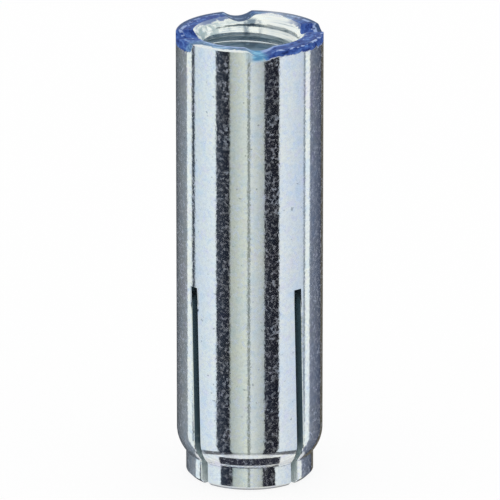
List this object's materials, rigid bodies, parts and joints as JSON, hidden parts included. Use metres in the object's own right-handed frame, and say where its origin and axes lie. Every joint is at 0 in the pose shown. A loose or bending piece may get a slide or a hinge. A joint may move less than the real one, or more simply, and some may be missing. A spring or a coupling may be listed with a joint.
{
  "type": "drop in anchor",
  "caption": "Steel drop-in anchor: a zinc-plated sleeve with a tapped bore, a slotted nose that expands in concrete, and a tapered plug inside that spreads it.",
  "frame": {"origin": "centre of the foot, on the axis, at the lowest point of the slotted nose", "axes": "+Z along the axis, from the slotted nose up to the tapped mouth; -Y faces the viewer in the picture"},
  "size_m": [0.0126, 0.0126, 0.0397],
  "materials": {
    "zinc_plate": "bright zinc plate with fine pits, and royal blue paint smeared over the rim",
    "plug_steel": "plain hardened steel, turned"
  },
  "bodies": {
    "root": {"anchor_body": "zinc_plate", "expander_plug": "plug_steel"}
  },
  "joints": []
}
